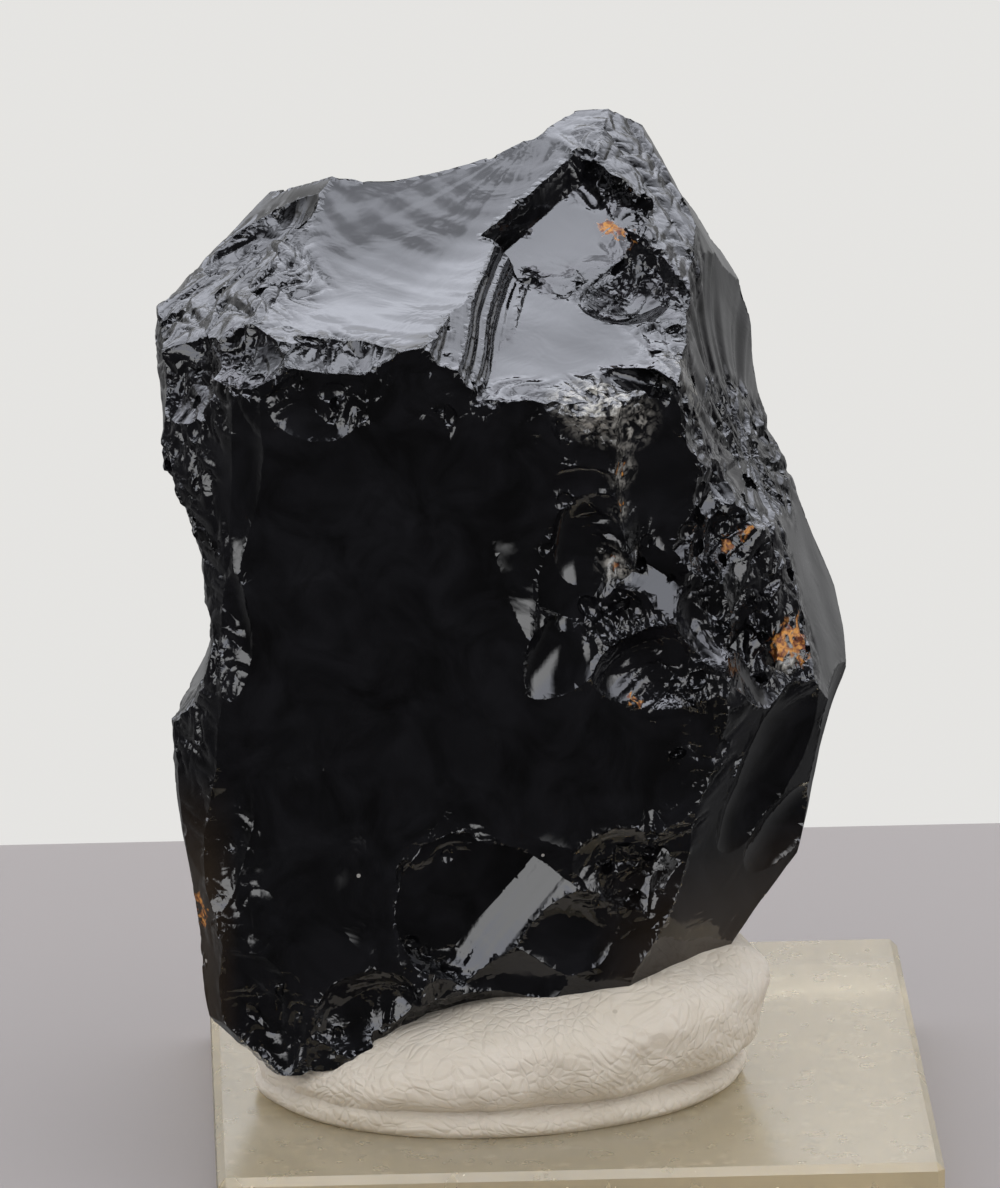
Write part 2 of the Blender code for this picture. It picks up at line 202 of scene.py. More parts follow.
# Where the glass is crushed: centre, radius, how strongly it crumpled, number of chips, and smallest and
# largest chip.
CRUSHED = {
    "left shoulder": ((-18.2, -2.0, 47.8), 5.6, 1.4, 9, 0.6, 1.5),
    "left shoulder top": ((-16.4, 2.6, 50.0), 3.4, 1.1, 6, 0.6, 1.3),
    "left shoulder front": ((-18.6, -7.6, 45.8), 4.0, 1.3, 9, 0.6, 1.5),
    "rim left": ((-15.6, -10.2, 46.0), 3.0, 0.8, 7, 0.5, 1.3),
    "rim middle": ((-11.6, -11.0, 46.0), 3.0, 0.8, 7, 0.5, 1.3),
    "rim bowl": ((-6.6, -11.6, 45.0), 2.4, 0.6, 7, 0.5, 1.3),
    "rim bowl end": ((-2.4, -11.8, 44.4), 2.4, 0.7, 7, 0.5, 1.3),
    "knob": ((1.6, -11.6, 44.2), 2.8, 1.2, 27, 0.4, 1.2),
    "column top": ((6.2, -4.0, 48.6), 3.4, 0.8, 10, 0.5, 1.3),
    "column": ((6.6, -7.0, 45.0), 3.2, 0.6, 6, 0.5, 1.3),
    "column foot": ((8.2, -7.4, 41.6), 2.8, 0.6, 5, 0.5, 1.3),
    "peak": ((4.4, 6.0, 53.2), 4.2, 0.9, 5, 0.6, 1.3),
    "peak flank": ((6.0, 0.6, 49.8), 3.8, 0.9, 6, 0.6, 1.3),
    "petals": ((9.4, -6.4, 39.0), 2.8, 1, 7, 0.5, 1.3),
    "squiggles": ((9.6, -7.0, 33.6), 4.2, 1.6, 8, 0.6, 1.3),
    "squiggles right": ((12.2, -4.6, 33.4), 3.4, 1.4, 6, 0.5, 1.3),
    "right shoulder": ((10.3, 3.2, 38.8), 3.0, 1.1, 5, 0.5, 1.2),
    "right shoulder front": ((8.6, -1.0, 41.0), 2.8, 1.1, 5, 0.5, 1.2),
    "right shoulder back": ((11.5, 2.6, 36.4), 2.8, 1.1, 5, 0.5, 1.2),
    "ochre": ((11.6, -5.4, 29.6), 3.2, 1.3, 11, 0.5, 1.3),
    "middle ridge": ((2.6, -11.8, 36.6), 2.6, 0.9, 7, 0.4, 1.3),
    "middle ridge low": ((1.9, -11.6, 32.6), 2.2, 1.0, 6, 0.5, 1.3),
    "bowl step": ((0.3, 0.0, 47.8), 1.8, 0.35, 6, 0.5, 1.2),
    "trough foot": ((5.4, -10.6, 28.4), 2.8, 1.0, 7, 0.5, 1.3),
    "wedge tip": ((-6.6, -11.2, 19.6), 2.6, 0.7, 5, 0.4, 1.3),
    "low chips": ((2.6, -10.4, 17.4), 2.8, 0.8, 6, 0.5, 1.3),
    "toe": ((-8.4, -10.4, 11.4), 3.6, 0.8, 6, 0.5, 1.3),
    "left toe": ((-15.0, -9.4, 9.8), 3.6, 0.8, 6, 0.5, 1.3),
    "left edge middle": ((-19.7, -8.4, 35.6), 2.8, 1.2, 6, 0.4, 1.2),
    "left edge low": ((-19.2, -9.0, 30.6), 2.8, 1.1, 6, 0.4, 1.2),
    "left ledge": ((-19.9, -7.6, 26.6), 2.8, 0.9, 4, 0.4, 1.3),
    "left side": ((-18.6, -9.6, 21.6), 2.6, 0.5, 3, 0.4, 1.2),
    "left side low": ((-18.2, -9.8, 16.6), 2.6, 0.5, 3, 0.4, 1.2),
    "left edge": ((-20.4, -7.6, 40.0), 2.6, 1.3, 6, 0.4, 1.3),
    "right shoulder end": ((12.2, 6.0, 37.0), 2.8, 1.1, 4, 0.5, 1.2),
    "ridge high": ((7.4, -10.5, 27.4), 2.0, 0.9, 5, 0.4, 1.2),
    "ridge middle": ((6.8, -10.0, 24.2), 1.8, 0.9, 5, 0.4, 1.2),
    "ridge low": ((5.4, -9.6, 20.6), 1.8, 0.8, 5, 0.4, 1.2),
    "ridge foot": ((3.4, -8.8, 15.6), 1.6, 0.6, 4, 0.4, 1.0),
    "bowl middle": ((2.4, -0.6, 47.8), 2.2, 1.2, 5, 0.5, 1.2),
}
# The crumple's folds: direction, length and height of each, coarse to fine.
CRUMPLE = (
    ((0.7, -0.3, 0.65), 2.9, 0.17),
    ((-0.5, 0.55, 0.67), 2.0, 0.13),
    ((0.2, 0.8, -0.55), 1.35, 0.065),
)
RIDGE_CHIPS = 420
RIDGE_CHIP_SIZES = (0.4, 1.6)
RIDGE_BEND = 0.06  # how bent the skin is where a ridge begins

# Rust and ochre stains: centre, radius and strength.
STAINS = (
    ((11.9, -5.7, 29.4), 1.1, 1.0),
    ((12.6, -5.2, 30.2), 0.7, 0.9),
    ((8.1, -6.9, 34.9), 0.45, 0.7),
    ((8.6, -6.6, 35.3), 0.5, 0.75),
    ((9.2, -6.3, 35.7), 0.45, 0.7),
    ((9.7, -6.1, 36.1), 0.4, 0.6),
    ((6.9, -7.6, 37.9), 0.35, 0.7),
    ((2.8, -11.0, 40.6), 0.45, 0.6),
    ((2.7, -10.8, 38.8), 0.4, 0.6),
    ((2.6, -10.0, 35.3), 0.5, 0.6),
    ((3.4, -10.4, 27.9), 0.4, 0.8),
    ((-19.6, -8.4, 16.3), 0.9, 0.8),
    ((2.8, 3.2, 49.9), 0.6, 0.9),
    ((3.4, 2.9, 49.7), 0.5, 0.8),
    ((3.9, 0.8, 49.9), 0.5, 0.7),
)
# Bruises, white with fine cracks: centre, radius and strength.
BRUISES = (
    ((1.6, -11.4, 44.6), 1.9, 0.9),
    ((0.2, -11.6, 44.9), 1.2, 0.6),
    ((3.0, -10.8, 43.0), 1.5, 0.6),
    ((2.9, -10.9, 40.4), 0.9, 0.6),
    ((2.8, -11.0, 38.4), 0.6, 0.5),
    ((2.6, -10.1, 35.4), 1.0, 0.8),
    ((13.2, -4.9, 31.4), 0.7, 0.9),
    ((11.4, -6.4, 28.8), 0.8, 0.7),
    ((7.4, -6.6, 43.4), 1.4, 0.5),
    ((6.0, -7.4, 45.2), 1.2, 0.4),
)


def toward(azimuth, elevation):
    """Unit vector that faces this way."""
    a, e = math.radians(azimuth), math.radians(elevation)
    return np.array([math.sin(a) * math.cos(e), -math.cos(a) * math.cos(e), math.sin(e)])


class Flake:
    """One ellipsoid-shaped bite out of the chunk, with the ripples and hackles of the blow."""

    def __init__(self, point, out, across, size, depth, flatness, shock=None):
        height = flatness * depth
        opening = math.sqrt(1.0 - ((height - depth) / height) ** 2)
        self.radii = np.array([size[0] / 2 / opening, size[1] / 2 / opening, height])
        self.axes = np.array([across, np.cross(out, across), out])
        self.centre = np.asarray(point) + out * (height - depth)
        self.reach = np.sqrt(((self.axes * self.radii[:, None]) ** 2).sum(0))
        self.shock = shock
        if shock:
            side = math.radians(shock[0])
            rim = (math.cos(side) * size[0] / 2, math.sin(side) * size[1] / 2)
            self.blow = np.array([*rim, 0.3 - height + depth])

    def depth_at(self, points):
        """How deep in the bite each point lies, in millimetres; below zero outside it."""
        local = (points - self.centre) @ self.axes.T
        ratio = local / self.radii
        q = np.sqrt((ratio**2).sum(1)) + 1e-9
        slope = np.sqrt(((ratio / self.radii) ** 2).sum(1)) / q + 1e-9
        depth = (1.0 - q) / slope
        if self.shock:
            _, ripple, spacing, hackle, fans = self.shock
            away = local - self.blow
            run = np.sqrt((away**2).sum(1))
            turn = np.arctan2(away[:, 1], away[:, 0])
            wave = np.sin(run * (2 * math.pi / spacing) + 0.7 * np.sin(run * 1.3 / spacing + 2.0))
            depth += ripple * wave * np.minimum(1.0, run / (2 * spacing))
            comb = np.sin(turn * fans) + 0.6 * np.sin(turn * fans * 1.73 + 1.0)
            comb += 0.5 * np.sin(turn * fans * 0.41)
            depth += hackle * comb * np.minimum(1.0, run / 3.0)
        return depth


class Facet:
    """A notch with two sides that meet in a crease, closed off at a distance along it and all round."""

    SLOPE = 0.7  # of the rise where it closes

    def __init__(self, crease, steep, gentle, far, turned=None, flutes=0.0):
        self.centre = np.array(crease)
        self.gentle = toward(*gentle)
        self.steep = toward(*steep)
        self.along = np.cross(self.steep, self.gentle)
        self.along /= np.linalg.norm(self.along)
        self.up = np.cross(self.along, self.steep)
        self.turn = toward(*turned) - self.steep if turned else np.zeros(3)
        self.flutes = flutes
        self.far = far
        self.reach = np.full(3, far[1])

    def depth_at(self, points):
        """How deep in the notch each point lies, in millimetres; below zero outside it."""
        away = points - self.centre
        run = away @ self.along
        # the flutes run along the crease and weave a little
        rise = away @ self.up + 0.15 * np.sin(0.4 * run) + 0.03 * run
        comb = np.sin(4.1 * rise) + 0.35 * np.sin(11.3 * rise + 1.0) + 1.5 * np.sin(1.9 * rise + 0.5)
        turned = np.clip(run / self.far[0], -1, 1)
        steep = away @ self.steep + turned * (away @ self.turn) + self.flutes * comb
        ends = (self.far[0] - np.abs(run)) * self.SLOPE
        rim = (self.far[1] - np.linalg.norm(away, axis=1)) * self.SLOPE
        return np.minimum(np.minimum(steep, away @ self.gentle), np.minimum(ends, rim))


def windows(points, flakes, margin):
    """For each flake, the points near enough for it to touch."""
    order = np.argsort(points[:, 0], kind="stable")
    xs = points[order, 0]
    for flake in flakes:
        low, high = flake.centre - flake.reach - margin, flake.centre + flake.reach + margin
        span = order[np.searchsorted(xs, low[0]) : np.searchsorted(xs, high[0])]
        yz = points[span, 1:]
        near = span[((yz > low[1:]) & (yz < high[1:])).all(1)]
        if len(near):
            yield flake, near


class Crumple:
    """A ball in which the glass is crushed into small folds."""

    def __init__(self, centre, radius, strength):
        self.centre = np.array(centre)
        self.reach = np.full(3, 1.3 * radius)
        self.strength = strength

    def at(self, points):
        """How strongly the glass is crushed at each point: full in the middle half, fading to the edge."""
        away = np.linalg.norm(points - self.centre, axis=1) / self.reach[0]
        fade = np.clip((1.0 - away) / 0.5, 0, 1)
        return self.strength * fade * fade * (3 - 2 * fade)

    @staticmethod
    def folds(points):
        """Height of the folds: waves bent by one another, with a crease wherever one crosses zero."""
        height = np.zeros(len(points))
        bend = np.zeros(len(points))
        for along, length, far in CRUMPLE:
            along = np.array(along) / np.linalg.norm(along)
            bend = 1.7 * np.sin(points @ np.roll(along, 1) * (4.1 / length) + 0.8 * bend + length)
            height += far * (0.6 - np.abs(np.sin(points @ along * (math.pi / length) + bend)))
        return height


class Chunk:
    """The whole chunk as a function of position: below zero inside the glass."""

    # The slow waves that keep a fracture from being quite flat: direction of the wave, its length, the way it
    # pushes, and how far.
    SWAY = (
        ((0.8, 0.3, 0.5), 13.0, (0.2, 0.9, 0.3), 0.20),
        ((-0.4, 0.7, 0.6), 9.0, (0.5, 0.8, -0.2), 0.14),
        ((0.3, -0.5, 0.8), 7.0, (0.9, -0.1, 0.4), 0.10),
        ((0.9, -0.2, -0.4), 5.2, (-0.1, 0.7, 0.7), 0.06),
        ((0.1, 0.9, -0.4), 4.1, (0.8, 0.3, 0.5), 0.04),
        ((-0.7, 0.2, 0.7), 3.1, (0.3, -0.8, 0.5), 0.022),
        ((0.5, 0.6, 0.6), 2.2, (-0.5, 0.5, 0.7), 0.012),
    )

    FLAKE_MARGIN = 0.9  # how far outside a flake its depth still counts
    CHIP_MARGIN = 0.35
    FOLDS_UNDER = 2.5  # how far from the skin the folds are worked out

    def __init__(self, rng):
        self.normals = np.array([toward(*facing) for _, facing in CLEAVAGES.values()])
        self.offsets = np.array([toward(*facing) @ np.array(p) for p, facing in CLEAVAGES.values()])
        self.flakes = []
        for name, (point, facing, size, depth, roll, flatness) in SCARS.items():
            out = toward(*facing)
            a, r = math.radians(facing[0]), math.radians(roll)
            level = np.array([math.cos(a), math.sin(a), 0.0])
            across = math.cos(r) * level + math.sin(r) * np.cross(out, level)
            weak = (rng.uniform(0, 360), rng.uniform(0.001, 0.004), rng.uniform(0.9, 1.9), 0.0, 60)
            shock = SHOCKS.get(name, weak)
            self.flakes.append(Flake(point, out, across, size, depth, flatness, shock))
        self.flakes += [Facet(*facet) for facet in FACETS.values()]
        self.chips = []
        self.crumples = [Crumple(*crushed[:3]) for crushed in CRUSHED.values()]

    def __call__(self, points):
        swayed = points.copy()
        for along, length, push, far in self.SWAY:
            along, push = np.array(along), np.array(push)
            phase = points @ (along / np.linalg.norm(along)) * (2 * math.pi / length) + length * 3.7
            swayed += np.sin(phase)[:, None] * (push / np.linalg.norm(push) * far)
        value = np.full(len(points), -1e9)
        for normal, offset in zip(self.normals, self.offsets):
            np.maximum(value, swayed @ normal - offset, out=value)
        for flake, near in windows(swayed, self.flakes, self.FLAKE_MARGIN):
            value[near] = np.maximum(value[near], flake.depth_at(swayed[near]))
        crushed = np.zeros(len(points))
        for crumple, near in windows(points, self.crumples, 0.0):
            crushed[near] = np.maximum(crushed[near], crumple.at(points[near]))
        folded = np.nonzero((crushed > 0) & (np.abs(value) < self.FOLDS_UNDER))[0]
        value[folded] += crushed[folded] * Crumple.folds(points[folded])
        for chip, near in windows(points, self.chips, self.CHIP_MARGIN):
            value[near] = np.maximum(value[near], chip.depth_at(points[near]))
        return value

    def gradient(self, points, step=0.01):
        """The chunk's value at each point and the way it rises there, which is the way the skin faces."""
        here = self(points)
        slope = np.stack([self(points + step * axis) - here for axis in np.eye(3)], 1)
        return here, slope / (np.linalg.norm(slope, axis=1, keepdims=True) + 1e-12)


def skin_of(chunk, low, high, cell):
    """Dual contouring: the skin's vertices and quads, how bent it is at each vertex and the way it faces."""
    # a coarse grid finds the cells near the skin, and only those are worked out finely
    coarse = 4
    counts = (np.ceil((high - low) / (cell * coarse)).astype(int) + 1) * coarse
    axes = [low[i] + cell * np.arange(counts[i]) for i in range(3)]
    rough_axes = [axis[coarse // 2 :: coarse] for axis in axes]
    rough_points = np.stack(np.meshgrid(*rough_axes, indexing="ij"), -1).reshape(-1, 3)
    value = chunk(rough_points).reshape([len(axis) for axis in rough_axes])
    for i in range(3):
        value = np.repeat(value, coarse, axis=i)
    near = np.abs(value) < cell * coarse * 1.5
    value = np.sign(value).astype(float)
    value[near] = chunk(low + cell * np.argwhere(near))
    inside = value < 0
    # each grid edge that crosses the skin gives a quad between the four cells round it
    crossings, owners, quads = [], [], []
    stride = np.array([counts[1] * counts[2], counts[2], 1])
    for a in range(3):
        b, c = (a + 1) % 3, (a + 2) % 3
        first = [slice(None)] * 3
        second = [slice(None)] * 3
        first[a], second[a] = slice(0, -1), slice(1, None)
        edge = np.argwhere(inside[tuple(first)] != inside[tuple(second)])
        after = edge.copy()
        after[:, a] += 1
        v0, v1 = value[tuple(edge.T)], value[tuple(after.T)]
        at = low + cell * edge
        at[:, a] += cell * v0 / (v0 - v1)
        crossings.append(at)
        ring = []
        for db, dc in ((-1, -1), (0, -1), (0, 0), (-1, 0)):
            cell_id = edge.copy()
            cell_id[:, b] += db
            cell_id[:, c] += dc
            ring.append(cell_id @ stride)
        ring = np.stack(ring, 1)
        owners.append(ring)
        quads.append(np.where((v0 < 0)[:, None], ring, ring[:, ::-1]))
    crossings = np.concatenate(crossings)
    owners, quads = np.concatenate(owners), np.concatenate(quads)
    _, normals = chunk.gradient(crossings)
    cells, owner_index = np.unique(owners, return_inverse=True)
    flat = owner_index.reshape(-1)
    n = np.repeat(normals, 4, axis=0)
    p = np.repeat(crossings, 4, axis=0)

    def total(weights=None):
        return np.bincount(flat, weights=weights, minlength=len(cells))

    def totals(columns):
        return np.stack([total(columns[:, i]) for i in range(3)], 1)

    # each vertex lies where the skin's planes at its cell's crossings meet, and inside its cell
    count = total().astype(float)
    mass = totals(p) / count[:, None]
    mean_normal = totals(n) / count[:, None]
    distance = (n * (p - mass[flat])).sum(1)
    square = np.stack([totals(n[:, i : i + 1] * n) for i in range(3)], 1)
    right = totals(n * distance[:, None])
    soft = SOFTNESS * count[:, None, None] * np.eye(3)
    move = np.linalg.solve(square + soft, right[:, :, None])[:, :, 0]
    ijk = np.stack([cells // stride[0], cells // stride[1] % counts[1], cells % counts[2]], 1)
    corner = low + cell * ijk
    vertices = np.clip(mass + move, corner + CLEAR * cell, corner + (1 - CLEAR) * cell)
    quads = np.searchsorted(cells, quads)
    bend = 1.0 - np.linalg.norm(mean_normal, axis=1)
    return vertices, quads, bend, mean_normal


def largest_island(vertices, quads, bend):
    """Drops the crumbs that the crushed zones cut loose, and keeps the stone itself."""
    # every vertex takes the lowest label of the quads round it, until each island has one label
    label = np.arange(len(vertices))
    while True:
        low = label[quads].min(1)
        best = label.copy()
        for corner in range(4):
            np.minimum.at(best, quads[:, corner], low)
        best = best[best]
        if np.array_equal(best, label):
            break
        label = best
    names, sizes = np.unique(label, return_counts=True)
    keep = label == names[sizes.argmax()]
    place = np.cumsum(keep) - 1
    return vertices[keep], place[quads[keep[quads[:, 0]]]], bend[keep]


def chip_flakes(rng, vertices, bend, mean_normal):
    """Small bites along the sharp ridges and in the crushed patches."""
    chips = []

    def add(index, smallest, largest, bias, slimmest, shallowest, deepest):
        out = mean_normal[index] / (np.linalg.norm(mean_normal[index]) + 1e-9)
        out = out + rng.normal(0, 0.34, 3)
        out /= np.linalg.norm(out)
        across = np.cross(out, rng.normal(0, 1, 3))
        across /= np.linalg.norm(across)
        length = smallest * (largest / smallest) ** (rng.random() ** bias)
        width = length * rng.uniform(slimmest, 0.9)
        depth = width * rng.uniform(shallowest, deepest)
        at = vertices[index] + rng.normal(0, 0.1, 3)
        chips.append(Flake(at, out, across, (length, width), depth, rng.uniform(1.8, 3.5)))

    ridge = np.nonzero(bend > RIDGE_BEND)[0]
    weight = bend[ridge] ** 0.7
    for index in rng.choice(ridge, RIDGE_CHIPS, p=weight / weight.sum()):
        add(index, *RIDGE_CHIP_SIZES, 1.8, 0.4, 0.10, 0.22)
    for name, (centre, radius, _, number, smallest, largest) in CRUSHED.items():
        away = np.linalg.norm(vertices - np.array(centre), axis=1)
        patch = np.nonzero(away < radius)[0]
        if len(patch) < 4:
            raise RuntimeError(f"no glass near the crushed patch {name}")
        weight = (1 - away[patch] / radius) + 4 * bend[patch]
        for index in rng.choice(patch, number, p=weight / weight.sum()):
            add(index, smallest, largest, 1.1, 0.3, 0.08, 0.17)
    return chips


def mesh_from(name, vertices, faces):
    """A mesh in metres from arrays in millimetres; every face has as many corners as the array is wide."""
    mesh = bpy.data.meshes.new(name)
    mesh.vertices.add(len(vertices))
    mesh.vertices.foreach_set("co", (np.asarray(vertices, np.float32) * MM).ravel())
    mesh.loops.add(faces.size)
    mesh.loops.foreach_set("vertex_index", faces.astype(np.int32).ravel())
    mesh.polygons.add(len(faces))
    mesh.polygons.foreach_set("loop_start", np.arange(0, faces.size, faces.shape[1], dtype=np.int32))
    mesh.update(calc_edges=True)
    mesh.validate()
    return mesh


def add_object(name, mesh):
    obj = bpy.data.objects.new(name, mesh)
    bpy.context.scene.collection.objects.link(obj)
    return obj


def applied(obj):
    """The object's mesh with its modifiers applied, and no modifiers left."""
    bpy.context.view_layer.update()
    graph = bpy.context.evaluated_depsgraph_get()
    mesh = bpy.data.meshes.new_from_object(obj.evaluated_get(graph))
    obj.modifiers.clear()
    old = obj.data
    obj.data = mesh
    bpy.data.meshes.remove(old)
    return mesh


def vertex_array(mesh):
    co = np.empty(len(mesh.vertices) * 3, np.float32)
    mesh.vertices.foreach_get("co", co)
    return co.reshape(-1, 3).astype(float) / MM


def set_attribute(mesh, name, values):
    attribute = mesh.attributes.new(name, "FLOAT", "POINT")
    attribute.data.foreach_set("value", np.asarray(values, np.float32))


def triangles_of(mesh, points):
    """Each triangle's corners, and the way that it faces."""
    corners = np.empty(len(mesh.loops), np.int32)
    mesh.loops.foreach_get("vertex_index", corners)
    faces = corners.reshape(-1, 3)
    first, second, third = (points[faces[:, i]] for i in range(3))
    facing = np.cross(second - first, third - first)
    return faces, facing / (np.linalg.norm(facing, axis=1, keepdims=True) + 1e-12)


def sharpness(points, faces, facing):
    """How sharp the edge is that a vertex lies on: 0 on a flat or in a hollow, 1 on a knife edge."""
    total = np.zeros_like(points)
    around = np.zeros_like(points)
    for corner in range(3):
        np.add.at(total, faces[:, corner], facing)
        np.add.at(around, faces[:, corner], points[faces].mean(1) - points[faces[:, corner]])
    mean = total / np.bincount(faces.ravel(), minlength=len(points))[:, None]
    bent = 1.0 - np.linalg.norm(mean, axis=1)
    raised = (around * mean).sum(1) < 0
    return np.clip((bent - 0.02) / 0.08, 0, 1) * raised


def glassy_normals(mesh, points, faces, facing, chunk):
    """Shades each face corner by the chunk's true slope just inside it, so that ridges stay knife sharp."""
    middle = points[faces].mean(1)
    probe = (points[faces] * 0.72 + middle[:, None] * 0.28).reshape(-1, 3)
    _, slope = chunk.gradient(probe)
    facing = np.repeat(facing, 3, axis=0)
    # where the slope and the triangle disagree, as on a ridge that a triangle bridges, the triangle wins
    agree = (slope * facing).sum(1)
    keep = np.clip((agree - 0.80) / 0.12, 0, 1)[:, None]
    normals = slope * keep + facing * (1 - keep)
    normals /= np.linalg.norm(normals, axis=1, keepdims=True)
    mesh.shade_smooth()
    mesh.normals_split_custom_set(normals.astype(np.float32))


# --------------------------------------------------------------------------------------------------
# Materials
# --------------------------------------------------------------------------------------------------


# Linear RGB.
FLOW_BAND = (0.010, 0.010, 0.012, 1)
# painted light: the brown glow of light let through thin glass
PAINTED_THIN_GLOW = (0.055, 0.036, 0.020, 1)
BRUISE_WHITE = (0.62, 0.60, 0.55, 1)
RUST = (0.14, 0.030, 0.006, 1)
OCHRE = (0.62, 0.27, 0.05, 1)
PALE_DUST = (0.55, 0.53, 0.50, 1)
PUTTY_SHADE = (0.67, 0.60, 0.50, 1)
FOLD_DARKER = (0.50, 0.44, 0.36, 1)
BROWN_FLUFF = (0.30, 0.25, 0.18, 1)
BASE_DUST = (0.80, 0.74, 0.60, 1)
ACRYLIC_YELLOW = (0.93, 0.80, 0.42, 1)
GLASS_IOR = 1.5
ACRYLIC_IOR = 1.49


class Nodes:
    """Short hand for building a node tree."""

    def __init__(self, tree):
        self.tree = tree

    def feed(self, node, inputs):
        """Links each value that is a socket to the node's input of that name, and sets the others on it."""
        for key, value in inputs.items():
            socket = node.inputs[key]
            if isinstance(value, bpy.types.NodeSocket):
                self.tree.links.new(value, socket)
            else:
                socket.default_value = value
        return node

    def add(self, kind, inputs=None, **settings):
        node = self.tree.nodes.new(kind)
        for key, value in settings.items():
            setattr(node, key, value)
        return self.feed(node, inputs or {})

    def math(self, operation, *values, clamp=False):
        inputs = dict(enumerate(values))
        return self.add("ShaderNodeMath", inputs, operation=operation, use_clamp=clamp).outputs[0]

    def product(self, *values):
        return functools.reduce(lambda first, second: self.math("MULTIPLY", first, second), values)

    def total(self, *values):
        return functools.reduce(lambda first, second: self.math("ADD", first, second), values)

    def ramp(self, value, low, high, out_low=0.0, out_high=1.0):
        inputs = {"Value": value, "From Min": low, "From Max": high, "To Min": out_low, "To Max": out_high}
        return self.add("ShaderNodeMapRange", inputs).outputs["Result"]

    def soft_ramp(self, value, low, high):
        inputs = {"Value": value, "From Min": low, "From Max": high}
        return self.add("ShaderNodeMapRange", inputs, interpolation_type="SMOOTHSTEP").outputs["Result"]

    def mix(self, factor, first, second):
        node = self.add("ShaderNodeMix", data_type="RGBA")
        return self.feed(node, {0: factor, 6: first, 7: second}).outputs[2]

    def noise(self, vector, scale, detail=3.0, roughness=0.5, distortion=0.0):
        inputs = {"Vector": vector, "Scale": scale, "Detail": detail, "Roughness": roughness}
        return self.add("ShaderNodeTexNoise", {**inputs, "Distortion": distortion}).outputs

    def specks(self, dust, vector, scale, size, amount):
        inputs = {"Vector": vector, "Scale": scale, "Size": size, "Amount": amount}
        return self.add("ShaderNodeGroup", inputs, node_tree=dust).outputs[0]

    def attribute(self, name):
        return self.add("ShaderNodeAttribute", attribute_name=name).outputs["Fac"]

    def place(self):
        return self.add("ShaderNodeTexCoord").outputs["Object"]


def new_material(name):
    material = bpy.data.materials.new(name)
    material.use_nodes = True
    material.node_tree.nodes.clear()
    nodes = Nodes(material.node_tree)
    shader = nodes.add("ShaderNodeBsdfPrincipled")
    output = nodes.add("ShaderNodeOutputMaterial", {"Surface": shader.outputs[0]})
    return material, nodes, shader, output


def dust_group():
    """Shader node group: scattered dust specks on a surface, as a mask."""
    group = bpy.data.node_groups.new("Dust specks", "ShaderNodeTree")
    sockets = group.interface
    sockets.new_socket("Vector", in_out="INPUT", socket_type="NodeSocketVector")
    for name, value in (("Scale", 1000.0), ("Size", 0.08), ("Amount", 0.3)):
        sockets.new_socket(name, in_out="INPUT", socket_type="NodeSocketFloat").default_value = value
    sockets.new_socket("Mask", in_out="OUTPUT", socket_type="NodeSocketFloat")
    nodes = Nodes(group)
    given = nodes.add("NodeGroupInput").outputs
    result = nodes.add("NodeGroupOutput")
    cells = nodes.add("ShaderNodeTexVoronoi", {"Vector": given["Vector"], "Scale": given["Scale"]})
    speck = nodes.math("LESS_THAN", cells.outputs["Distance"], given["Size"])
    pick = nodes.add("ShaderNodeSeparateColor", {"Color": cells.outputs["Color"]}).outputs[0]
    chosen = nodes.math("LESS_THAN", pick, given["Amount"])
    nodes.feed(result, {"Mask": nodes.product(speck, chosen)})
    return group


def volcanic_glass(look, dust):
    _, nodes, shader, _ = new_material("Black volcanic glass")
    place = nodes.place()
    crush, stain, bruise, thin = map(nodes.attribute, ("crush", "stain", "bruise", "thin"))
    coarse = nodes.noise(place, 1250.0, 1.0, 0.5, 1.5)["Fac"]
    fine = nodes.noise(place, 3600.0, 1.0, 0.5, 0.8)["Fac"]
    smear = nodes.noise(place, 300.0, 3.0, 0.6, 0.8)["Fac"]
    # bands of slightly different black, as flow bands run through the glass, and a painted brown glow where
    # it is thin, for the light that thin glass lets through
    black = nodes.mix(nodes.ramp(smear, 0.35, 0.70), (*look.glass_colour, 1), FLOW_BAND)
    painted_glow = nodes.mix(nodes.product(thin, 0.55), black, PAINTED_THIN_GLOW)
    # a bruise scatters light off countless small cracks, and rust and ochre have crept into some of them
    cracked = nodes.product(bruise, nodes.ramp(coarse, 0.40, 0.58), nodes.ramp(fine, 0.30, 0.62))
    bruised = nodes.mix(cracked, painted_glow, BRUISE_WHITE)
    veins = nodes.math("MULTIPLY_ADD", coarse, -3.4, nodes.total(stain, 1.7))
    rusty = nodes.product(nodes.ramp(veins, 0.45, 0.85), nodes.ramp(stain, 0.02, 0.20))
    rusted = nodes.mix(rusty, bruised, nodes.mix(nodes.ramp(fine, 0.38, 0.62), RUST, OCHRE))
    specks = nodes.specks(dust, place, 620.0, 0.07, 0.07)
    dusty = nodes.mix(nodes.product(specks, 0.6), rusted, PALE_DUST)
    polish = nodes.ramp(smear, 0.45, 0.75, look.glass_roughness, look.glass_roughness + 0.08)
    dull = nodes.math("ADD", rusty, cracked, clamp=True)
    # heights in mm: folds and grit where it is crushed, and a faint skin of ripples everywhere
    folds = nodes.product(coarse, crush, look.crush_height)
    grit = nodes.product(fine, crush, 0.22 * look.crush_height)
    height = nodes.total(folds, grit, nodes.product(smear, 0.05))
    bump = nodes.add("ShaderNodeBump", {"Strength": 1.0, "Distance": MM, "Height": height})
    nodes.feed(
        shader,
        {
            "Base Color": dusty,
            "Roughness": nodes.total(polish, nodes.product(dull, 0.40)),
            "IOR": GLASS_IOR,
            "Normal": bump.outputs[0],
        },
    )


